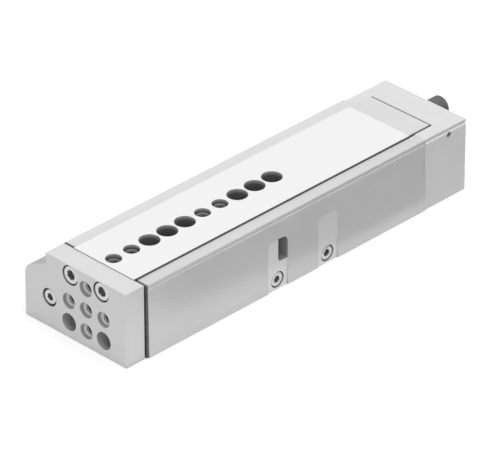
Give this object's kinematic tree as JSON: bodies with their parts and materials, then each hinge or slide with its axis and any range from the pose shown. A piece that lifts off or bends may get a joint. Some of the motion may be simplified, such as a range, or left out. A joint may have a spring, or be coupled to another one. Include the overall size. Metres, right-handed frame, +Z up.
{
  "type": "pneumatic slide table",
  "caption": "Compact pneumatic linear slide: a ball-guided steel table with a front mounting plate, driven by an air cylinder in the housing's side wing.",
  "frame": {"origin": "on the mounting face below the table's centre line, at the front end of the housing", "axes": "+Y along the travel towards the rear, +Z up out of the table, +X across towards the side with the clamp screws"},
  "size_m": [0.0593, 0.2074, 0.0349],
  "materials": {
    "anodised_aluminium": "satin natural anodised",
    "milled_aluminium": "fine milled, natural anodised",
    "ground_steel": "ground bright",
    "hardened_steel": "hardened and polished",
    "bright_screws": "nickel plated",
    "dark_steel": "blackened, lightly oiled",
    "bronze": "sintered",
    "black_rubber": "matte"
  },
  "bodies": {
    "base": {"housing": "anodised_aluminium", "rear_block": "anodised_aluminium", "rear_block_screws": "dark_steel", "guide_rail_near": "hardened_steel", "guide_rail_far": "hardened_steel", "front_scraper": "black_rubber", "scraper_screws": "dark_steel", "rod_bush": "bronze", "rod_seal": "black_rubber", "bore_cap": "milled_aluminium", "bore_cap_seal": "black_rubber", "rear_port_plug": "dark_steel", "rear_stop_sleeve": "dark_steel", "rear_stop_buffer": "black_rubber", "rear_stop_grub_screw": "dark_steel", "front_stop_sleeve": "dark_steel", "front_stop_buffer": "black_rubber", "clamp_screws": "bright_screws"},
    "table": {"slide_table": "ground_steel", "end_piece": "milled_aluminium", "end_piece_screws": "dark_steel", "front_plate": "milled_aluminium", "plate_screws": "bright_screws", "plate_dowels": "hardened_steel", "rod_screw": "bright_screws", "piston_rod": "hardened_steel", "piston": "milled_aluminium", "piston_seals": "black_rubber", "piston_magnet": "dark_steel", "piston_screw": "dark_steel"},
    "ball_cages": {"ball_cage_near": "bronze", "ball_cage_far": "bronze", "balls_near": "hardened_steel", "balls_far": "hardened_steel"}
  },
  "joints": [
    {"name": "table_travel", "type": "slide", "parent": "base", "child": "table", "axis": [0, -1, 0], "range_m": [0, 0.08]},
    {"name": "cage_travel", "type": "slide", "parent": "base", "child": "ball_cages", "axis": [0, -1, 0], "range_m": [0, 0.04]}
  ],
  "couplings": [
    {"joint": "cage_travel", "follows": "table_travel", "ratio": 0.5}
  ]
}
